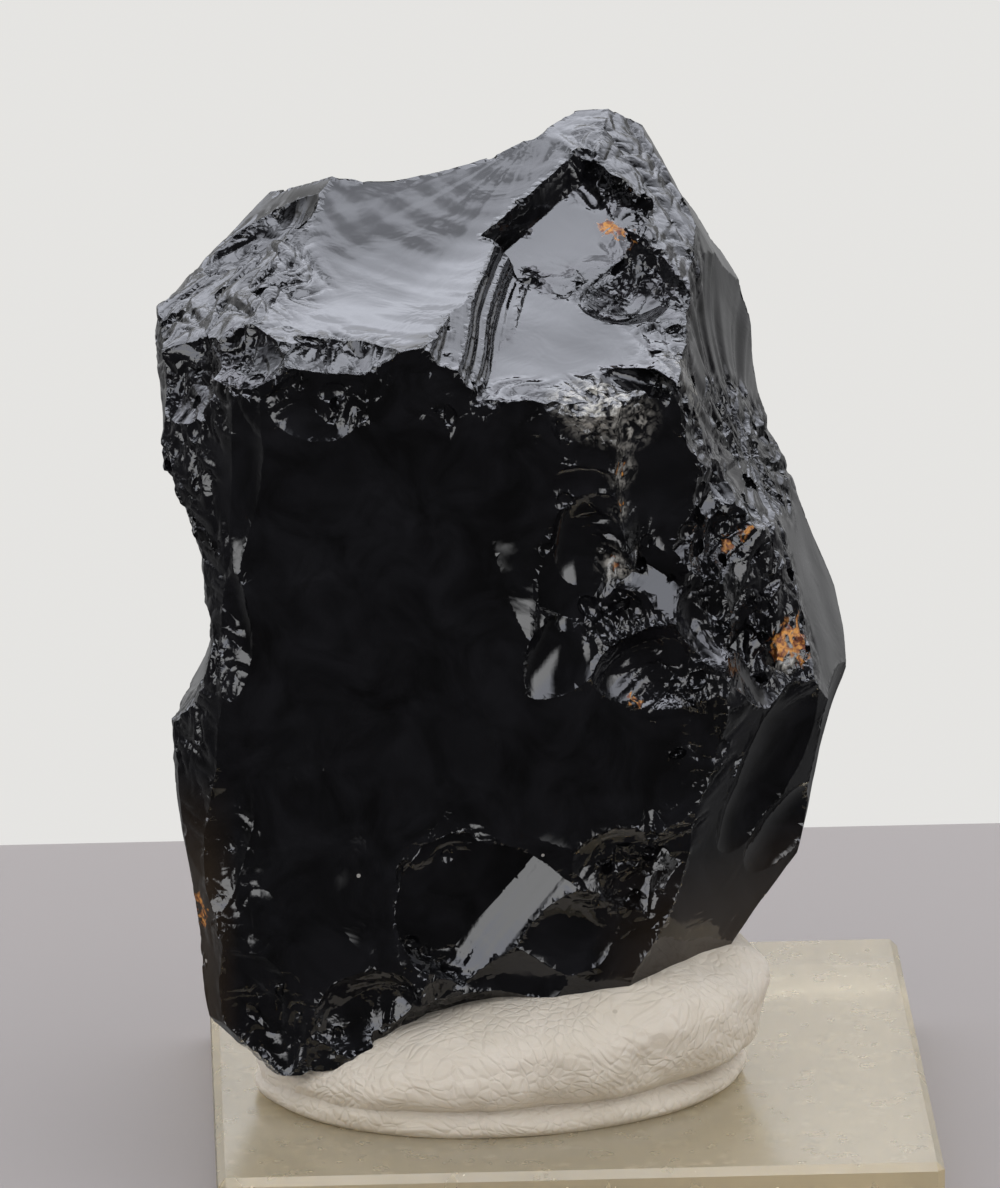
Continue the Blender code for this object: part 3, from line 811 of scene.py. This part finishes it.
def kneaded_putty(look, dust):
    _, nodes, shader, _ = new_material("Kneaded putty")
    place = nodes.place()
    cloud = nodes.noise(place, 240.0, 4.0, 0.6)["Fac"]
    white = nodes.mix(nodes.ramp(cloud, 0.3, 0.7), (*look.putty_colour, 1), PUTTY_SHADE)
    # darker along the crease of the fold
    darker_in_fold = nodes.mix(nodes.product(nodes.attribute("fold"), 0.5), white, FOLD_DARKER)
    fluff = nodes.specks(dust, place, 500.0, 0.07, 0.12)
    fluffy = nodes.mix(nodes.product(fluff, 0.35), darker_in_fold, BROWN_FLUFF)
    # skin ridges from the fingers that kneaded it, bent by noise, and a leathery crackle
    sway = nodes.noise(place, 140.0, 2.0)["Color"]
    bent = nodes.add("ShaderNodeVectorMath", {0: sway, 1: (0.006, 0.006, 0.006)}, operation="MULTIPLY")
    bent = nodes.add("ShaderNodeVectorMath", {0: place, 1: bent.outputs[0]}, operation="ADD").outputs[0]
    wave = {"Vector": bent, "Scale": 760.0, "Distortion": 1.5, "Detail": 2.0, "Detail Scale": 1.2}
    ridges = nodes.add("ShaderNodeTexWave", wave, bands_direction="DIAGONAL").outputs["Fac"]
    patch = nodes.ramp(nodes.noise(place, 110.0, 1.0)["Fac"], 0.42, 0.60)
    crackle = {"Vector": bent, "Scale": 1500.0}
    crackle = nodes.add("ShaderNodeTexVoronoi", crackle, feature="DISTANCE_TO_EDGE").outputs["Distance"]
    leather = nodes.ramp(crackle, 0.0, 0.18)
    lumps = nodes.noise(place, 700.0, 4.0, 0.6)["Fac"]
    height = nodes.total(
        nodes.product(ridges, patch, 0.5),
        nodes.product(leather, 0.6),
        nodes.product(lumps, 1.2),
    )
    bump = nodes.add("ShaderNodeBump", {"Strength": 0.6, "Distance": 0.12 * MM, "Height": height})
    nodes.feed(
        shader,
        {
            "Base Color": fluffy,
            "Roughness": nodes.ramp(cloud, 0.3, 0.7, 0.52, 0.72),
            "Subsurface Weight": 0.12,
            "Subsurface Radius": (1.0, 0.8, 0.6),
            "Subsurface Scale": 0.8 * MM,
            "Normal": bump.outputs[0],
        },
    )


def clear_acrylic(look, dust):
    _, nodes, shader, output = new_material("Yellowed acrylic")
    place = nodes.place()
    scuffs = nodes.noise(place, 600.0, 3.0, 0.6)["Fac"]
    specks = nodes.specks(dust, place, 420.0, 0.07, 0.25)
    absorb = {"Color": ACRYLIC_YELLOW, "Density": look.acrylic_density}
    absorb = nodes.add("ShaderNodeVolumeAbsorption", absorb)
    nodes.feed(output, {"Volume": absorb.outputs[0]})
    nodes.feed(
        shader,
        {
            "Base Color": nodes.mix(nodes.product(specks, 0.5), (*look.acrylic_colour, 1), BASE_DUST),
            "Roughness": nodes.ramp(scuffs, 0.3, 0.7, 0.18, 0.30),
            "Transmission Weight": look.acrylic_clearness,
            "IOR": ACRYLIC_IOR,
        },
    )


# --------------------------------------------------------------------------------------------------
# Settings
# --------------------------------------------------------------------------------------------------


def colour(name, description, default):
    return FloatVectorProperty(name=name, description=description, subtype="COLOR", default=default)


def amount(name, description, default):
    """A number that isn't negative."""
    return FloatProperty(name=name, description=description, default=default, min=0.0)


def share(name, description, default):
    """A number from 0 to 1."""
    limits = {"min": 0.0, "max": 1.0}
    return FloatProperty(name=name, description=description, subtype="FACTOR", default=default, **limits)


def degrees(name, description, default):
    return FloatProperty(name=name, description=f"Degrees {description}", default=default)


class CrystalSettings(bpy.types.PropertyGroup):
    cell: FloatProperty(
        name="Carving step",
        description="Size of the grid that the chunk is carved on, in mm",
        default=0.21,
        min=0.1,
        max=1.0,
    )
    faces: IntProperty(
        name="Faces",
        description="Triangles left after thinning the flat areas",
        default=190000,
        min=5000,
    )
    seed: IntProperty(name="Seed", description="Seed of the chips", default=SEED)


class LookSettings(bpy.types.PropertyGroup):
    glass_colour: colour("Glass", "Colour of the volcanic glass", (0.0034, 0.0033, 0.0037))
    glass_roughness: share("Glass roughness", "Roughness of a clean fracture", 0.05)
    crush_height: amount("Crushed folds", "Height of the finest folds of crushed glass, in mm", 0.16)
    putty_colour: colour("Putty", "Colour of the putty", (0.75, 0.68, 0.59))
    acrylic_colour: colour("Acrylic", "Surface tint of the acrylic", (0.80, 0.72, 0.55))
    acrylic_clearness: share("Acrylic clearness", "How much light the acrylic lets through", 0.65)
    acrylic_density: amount("Acrylic yellowing", "Density of its absorption, per metre", 28.0)


class StageSettings(bpy.types.PropertyGroup):
    camera_place: FloatVectorProperty(
        name="Camera",
        description="Where the camera stands",
        subtype="TRANSLATION",
        unit="LENGTH",
        default=(-0.0230, -0.6099, 0.2131),
    )
    camera_azimuth: degrees("Camera azimuth", "to the right of +Y that it looks", 1.85)
    camera_pitch: degrees("Camera pitch", "below the horizon that it looks", 16.64)
    camera_roll: degrees("Camera roll", "that it is rolled", -0.70)
    lens: FloatProperty(
        name="Lens",
        description="Focal length on a 36 mm sensor",
        subtype="DISTANCE_CAMERA",
        default=363.6,
    )
    fill: amount("Fill", "Strength of the soft light from low down", 0.55)
    overhead: amount("Overhead", "How much stronger the soft light is overhead", 0.75)
    boxes: amount("Side boxes", "Strength of the soft boxes to the left and right", 4.2)
    light_colour: colour("Light", "Colour of the studio light", (0.985, 0.99, 1.0))
    sky_colour: colour("Sky", "Colour of the light from above, as the glass mirrors it", (0.87, 0.90, 1.0))
    floor_colour: colour("Floor", "Colour of the floor", (0.392, 0.363, 0.361))
    wall_colour: colour("Background", "Colour behind the object", (0.785, 0.778, 0.76))


# --------------------------------------------------------------------------------------------------
# Operators
# --------------------------------------------------------------------------------------------------


class ANDARA_OT_crystal(bpy.types.Operator):
    """Knap the chunk of volcanic glass"""

    bl_idname = "andara.crystal"
    bl_label = "Knap the crystal"

    def execute(self, context):
        settings = context.scene.andara_crystal
        rng = np.random.default_rng(settings.seed)
        chunk = Chunk(rng)
        low, high = (np.array(corner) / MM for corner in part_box("crystal"))
        low, high = low - ROOM, high + ROOM
        vertices, _, bend, mean_normal = skin_of(chunk, low, high, DRAFT_CELL)
        chunk.chips = chip_flakes(rng, vertices, bend, mean_normal)
        cell = settings.cell
        vertices, quads, bend, _ = skin_of(chunk, low, high, cell)
        vertices, quads, bend = largest_island(vertices, quads, bend)
        # each quad is split along the diagonal that a ridge runs along
        turn = bend[quads[:, 0]] + bend[quads[:, 2]] < bend[quads[:, 1]] + bend[quads[:, 3]]
        quads[turn] = np.roll(quads[turn], 1, axis=1)
        triangles = np.concatenate([quads[:, [0, 1, 2]], quads[:, [0, 2, 3]]])
        mesh = mesh_from("volcanic_glass_chunk", vertices, triangles)
        crystal = add_object("volcanic_glass_chunk", mesh)
        thin = crystal.modifiers.new("Thin flat areas", "DECIMATE")
        thin.ratio = min(1.0, settings.faces / len(triangles))
        thin.use_collapse_triangulate = True
        mesh = applied(crystal)
        points = vertex_array(mesh)
        faces, facing = triangles_of(mesh, points)
        self.mark(mesh, points, sharpness(points, faces, facing), chunk)
        glassy_normals(mesh, points, faces, facing, chunk)
        mesh.materials.append(bpy.data.materials["Black volcanic glass"])
        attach(crystal, "root")
        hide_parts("crystal")
        return {"FINISHED"}

    @staticmethod
    def mark(mesh, points, sharp, chunk):
        """Writes where the skin is crushed, bruised, stained or thin enough to let light through."""
        crush = 0.6 * sharp
        for crumple, near in windows(points, chunk.crumples, 0.0):
            crush[near] = np.maximum(crush[near], 0.30 * crumple.at(points[near]))
        set_attribute(mesh, "crush", np.clip(crush, 0, 1))
        for name, spots in (("stain", STAINS), ("bruise", BRUISES)):
            mask = np.zeros(len(points))
            for centre, radius, strength in spots:
                away = np.linalg.norm(points - np.array(centre), axis=1) / radius
                mask = np.maximum(mask, strength * np.clip(1.6 - 1.2 * away, 0, 1))
            set_attribute(mesh, name, mask)
        # the low right corner and the low left edge are thin, and the glass is painted brown there as a
        # painted glow for the light they let through
        x, z = points[:, 0], points[:, 2]
        corner = np.clip((19.0 - z) / 8.0, 0, 1) * np.clip((x - 1.0) / 5.0, 0, 1)
        edge = np.clip((-17.6 - x) / 1.6, 0, 1) * np.clip((24.0 - z) / 6.0, 0, 1)
        set_attribute(mesh, "thin", np.clip(corner + 0.8 * edge, 0, 1))


class ANDARA_OT_putty(bpy.types.Operator):
    """Roll, fold and press the putty"""

    bl_idname = "andara.putty"
    bl_label = "Press the putty"

    # height, how much higher at the right end than at the left, and how far out the ring goes at its left end
    # and at its right end: as on the solid, but closer set
    RINGS = (
        (0.0, 0.0, 0.955, 0.945),
        (0.18, 0.0, 0.977, 0.966),
        (0.35, 0.0, 0.990, 0.979),
        (0.6, 0.0, 0.999, 0.983),
        (0.85, 0.02, 1.0, 0.977),
        (1.1, 0.08, 0.996, 0.957),
        (1.28, 0.14, 0.991, 0.934),
        (1.38, 0.19, 0.987, 0.916),
        (1.44, 0.22, 0.986, 0.912),
        (1.52, 0.26, 0.986, 0.928),
        (1.7, 0.34, 0.988, 0.965),
        (2.05, 0.50, 0.994, 1.015),
        (2.5, 0.88, 0.994, 1.052),
        (3.0, 1.42, 0.982, 1.076),
        (3.5, 2.0, 0.965, 1.083),
        (4.2, 2.8, 0.92, 1.065),
        (4.9, 3.5, 0.85, 1.01),
        (5.5, 4.1, 0.75, 0.92),
        (6.0, 4.5, 0.62, 0.78),
        (6.35, 4.7, 0.45, 0.58),
        (6.5, 4.8, 0.27, 0.35),
    )
    CENTRE = (-3.8, -3.0)
    HALF = (13.0, 11.0)
    AROUND = 320
    BETWEEN = 7  # rings made for each step of the table
    SEAT = 0.02  # mm over the base
    CREASE = 1.42  # height of the fold's crease
    # lumps from kneading: length and height
    LUMPS = ((9.0, 0.20), (5.5, 0.16), (3.6, 0.10), (2.4, 0.06), (1.5, 0.035), (1.0, 0.02))

    def execute(self, context):
        base_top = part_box("acrylic_base")[1].z / MM
        keys = np.array(self.RINGS)
        steps = np.linspace(0, len(keys) - 1, (len(keys) - 1) * self.BETWEEN + 1)
        rings = np.stack([self.smooth(keys[:, i], steps) for i in range(4)], 1)
        angle = np.arange(self.AROUND) * (2 * math.pi / self.AROUND)
        x, y = np.cos(angle), np.sin(angle)
        lobe = 1.0 + 0.02 * np.sin(2 * angle + 0.6) + 0.015 * np.sin(3 * angle + 2.0)
        reach = rings[:, 2:3] + (rings[:, 3:4] - rings[:, 2:3]) * (1 + x) / 2
        points = np.stack(
            [
                self.CENTRE[0] + self.HALF[0] * reach * lobe * x,
                self.CENTRE[1] + self.HALF[1] * reach * lobe * y,
                base_top + self.SEAT + rings[:, 0:1] + rings[:, 1:2] * 0.5 * x * reach,
            ],
            -1,
        )
        height = rings[:, 0:1] * np.ones_like(x)
        points = self.kneaded(points, height)
        count = len(rings)
        index = np.arange(count * self.AROUND).reshape(count, self.AROUND)
        right = np.roll(index, -1, axis=1)
        faces = np.stack([index[:-1], right[:-1], right[1:], index[1:]], -1).reshape(-1, 4)
        flat = points.reshape(-1, 3)
        obj = add_object("putty_pad", mesh_from("putty_pad", flat, faces))
        self.cap(obj)
        # how near each point is to the fold's crease, where the putty is made darker
        fold = np.exp(-(((height.ravel() - self.CREASE) / 0.22) ** 2)) * np.clip((flat[:, 0] + 18) / 6, 0, 1)
        set_attribute(obj.data, "fold", fold)
        obj.data.shade_smooth()
        obj.data.materials.append(bpy.data.materials["Kneaded putty"])
        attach(obj, "root")
        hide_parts("putty")
        return {"FINISHED"}

    @staticmethod
    def smooth(values, steps):
        """Catmull-Rom through the values."""
        before, after = 2 * values[0] - values[1], 2 * values[-1] - values[-2]
        padded = np.concatenate([[before], values, [after], [values[-1]]])
        i = np.minimum(steps.astype(int), len(values) - 2)
        t = steps - i
        p0, p1, p2, p3 = (padded[i + k] for k in range(4))
        square, cube = 2 * p0 - 5 * p1 + 4 * p2 - p3, 3 * p1 - p0 - 3 * p2 + p3
        return 0.5 * (2 * p1 + (p2 - p0) * t + square * t**2 + cube * t**3)

    def kneaded(self, points, height):
        """Finger dents and small lumps, none at the foot."""
        out = points - np.array([*self.CENTRE, 7.5])
        out[..., 2] *= 0.4
        out /= np.linalg.norm(out, axis=-1, keepdims=True)
        rng = np.random.default_rng(7)
        push = np.zeros(points.shape[:2])
        for length, far in self.LUMPS:
            for _ in range(3):
                way = rng.normal(0, 1, 3)
                way /= np.linalg.norm(way)
                push += far * 0.6 * np.sin(points @ way * (2 * math.pi / length) + rng.uniform(0, 6.28))
        firm = np.clip(height, 0, 1)
        return points + out * (push * firm)[..., None]

    @staticmethod
    def cap(obj):
        """Closes the pad's top and bottom."""
        bm = bmesh.new()
        bm.from_mesh(obj.data)
        bmesh.ops.holes_fill(bm, edges=[edge for edge in bm.edges if edge.is_boundary])
        bmesh.ops.recalc_face_normals(bm, faces=bm.faces)
        bm.to_mesh(obj.data)
        bm.free()


class ANDARA_OT_base(bpy.types.Operator):
    """Dress the acrylic base"""

    bl_idname = "andara.base"
    bl_label = "Polish the acrylic base"

    def execute(self, context):
        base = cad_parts["acrylic_base"]
        base.data.materials.clear()
        base.data.materials.append(bpy.data.materials["Yellowed acrylic"])
        return {"FINISHED"}


class ANDARA_OT_materials(bpy.types.Operator):
    """Mix the three finishes"""

    bl_idname = "andara.materials"
    bl_label = "Mix the finishes"

    def execute(self, context):
        look = context.scene.andara_look
        dust = dust_group()
        volcanic_glass(look, dust)
        kneaded_putty(look, dust)
        clear_acrylic(look, dust)
        return {"FINISHED"}


class ANDARA_OT_stage(bpy.types.Operator):
    """Set the floor, the light and the camera"""

    bl_idname = "andara.stage"
    bl_label = "Set the stage"

    # how bright each part of the room is in the glass
    GLOW = 2.45  # from above and behind
    ZENITH = 2.9  # the same straight overhead, times the glow
    PANEL = 1.8
    WALL = 0.45
    TABLE = 0.12
    GLOOM = 0.035  # the least, once for each part

    def execute(self, context):
        stage = context.scene.andara_stage
        self.floor(stage)
        self.world(context.scene, stage)
        self.camera(context.scene, stage)
        context.scene.view_settings.view_transform = "Standard"
        return {"FINISHED"}

    @staticmethod
    def floor(stage):
        """The table top, which ends a little behind the object, just under the base."""
        near, far, half, under = -420.0, 54.5, 420.0, -0.15
        corners = [(-half, near, under), (half, near, under), (half, far, under), (-half, far, under)]
        mesh = mesh_from("table_top", np.array(corners), np.array([[0, 1, 2, 3]]))
        obj = add_object("table_top", mesh)
        material, _, shader, _ = new_material("Pale table top")
        shader.inputs["Base Color"].default_value = (*stage.floor_colour, 1)
        shader.inputs["Roughness"].default_value = 0.9
        mesh.materials.append(material)
        obj.visible_glossy = False

    def world(self, scene, stage):
        """Soft light all round; what the glass mirrors has soft panels, and the camera sees a plain wall."""
        world = bpy.data.worlds.new("Soft studio")
        scene.world = world
        world.use_nodes = True
        world.node_tree.nodes.clear()
        nodes = Nodes(world.node_tree)
        soft = nodes.soft_ramp
        way = nodes.add("ShaderNodeTexCoord").outputs["Generated"]
        x, y, z = nodes.add("ShaderNodeSeparateXYZ", {0: way}).outputs
        across = nodes.math("SQRT", nodes.total(nodes.product(x, x), nodes.product(y, y)))
        side = nodes.math("DIVIDE", x, across)
        behind = soft(nodes.math("DIVIDE", y, across), -0.2, 0.55)
        overhead = nodes.math("MAXIMUM", behind, nodes.product(soft(z, 0.88, 0.97), self.ZENITH))
        above = soft(z, 0.24, 0.48)
        glow = nodes.product(above, overhead, self.GLOW)
        panel = nodes.product(
            soft(z, 0.46, 0.54),
            soft(z, 0.90, 0.84),
            soft(side, -0.92, -0.80),
            soft(side, 0.86, 0.72),
            nodes.math("GREATER_THAN", y, 0.0),
            self.PANEL,
        )
        wall = nodes.product(soft(y, 0.2, 0.6), soft(z, 0.45, 0.30), soft(z, -0.30, -0.02), self.WALL)
        table = nodes.product(soft(z, 0.0, -0.15), soft(y, -0.4, 0.4), self.TABLE)
        front = nodes.math("LESS_THAN", y, 0.05)
        height = nodes.product(soft(z, -0.08, 0.12), soft(z, 0.78, 0.58), front, stage.boxes)
        boxes = []
        for out in (side, nodes.product(side, -1.0)):
            boxes.append(nodes.product(soft(out, 0.40, 0.60), soft(out, 0.99, 0.91), height))
        mirrored = self.GLOOM
        for part in (glow, panel, wall, table, *boxes):
            mirrored = nodes.total(part, mirrored)
        spread = nodes.ramp(z, -0.1, 0.9, stage.fill, stage.fill + stage.overhead)
        path = nodes.add("ShaderNodeLightPath").outputs
        glossy = path["Is Glossy Ray"]
        light = nodes.add("ShaderNodeMix", {"Factor": glossy, "A": spread, "B": mirrored}).outputs["Result"]
        hue = nodes.mix(nodes.product(glossy, above), (*stage.light_colour, 1), (*stage.sky_colour, 1))
        around = nodes.add("ShaderNodeBackground", {"Color": hue, "Strength": light})
        backdrop = nodes.add("ShaderNodeBackground", {"Color": (*stage.wall_colour, 1), "Strength": 1.0})
        shown = {0: path["Is Camera Ray"], 1: around.outputs[0], 2: backdrop.outputs[0]}
        shown = nodes.add("ShaderNodeMixShader", shown)
        nodes.add("ShaderNodeOutputWorld", {"Surface": shown.outputs[0]})

    @staticmethod
    def camera(scene, stage):
        data = bpy.data.cameras.new("camera")
        camera = bpy.data.objects.new("camera", data)
        scene.collection.objects.link(camera)
        data.lens = stage.lens
        data.sensor_width = 36.0
        data.clip_start, data.clip_end = 0.01, 10.0
        turn = (
            Matrix.Rotation(math.radians(-stage.camera_azimuth), 4, "Z")
            @ Matrix.Rotation(math.radians(90 - stage.camera_pitch), 4, "X")
            @ Matrix.Rotation(math.radians(stage.camera_roll), 4, "Z")
        )
        camera.matrix_world = Matrix.Translation(stage.camera_place) @ turn
        scene.camera = camera


class ANDARA_PT_panel(bpy.types.Panel):
    """Lists the pieces and the stage"""

    bl_idname = "ANDARA_PT_panel"
    bl_label = "Andara crystal"
    bl_space_type = "VIEW_3D"
    bl_region_type = "UI"
    bl_category = "Andara"

    def draw(self, context):
        layout = self.layout
        for name in SETTINGS:
            group = getattr(context.scene, name)
            box = layout.box()
            for setting in group.__annotations__:
                box.prop(group, setting)
        for operator in OPERATORS:
            layout.operator(operator.bl_idname)


SETTINGS = {
    "andara_crystal": CrystalSettings,
    "andara_look": LookSettings,
    "andara_stage": StageSettings,
}
OPERATORS = (
    ANDARA_OT_materials,
    ANDARA_OT_crystal,
    ANDARA_OT_putty,
    ANDARA_OT_base,
    ANDARA_OT_stage,
)


def register():
    for cls in (*SETTINGS.values(), *OPERATORS, ANDARA_PT_panel):
        bpy.utils.register_class(cls)
    for name, group in SETTINGS.items():
        setattr(bpy.types.Scene, name, PointerProperty(type=group))


def unregister():
    for name in SETTINGS:
        delattr(bpy.types.Scene, name)
    for cls in (ANDARA_PT_panel, *reversed(OPERATORS), *SETTINGS.values()):
        bpy.utils.unregister_class(cls)


def main():
    register()
    bpy.ops.andara.materials()
    bpy.ops.andara.crystal()
    bpy.ops.andara.putty()
    bpy.ops.andara.base()
    bpy.ops.andara.stage()


if __name__ == "__main__":
    main()
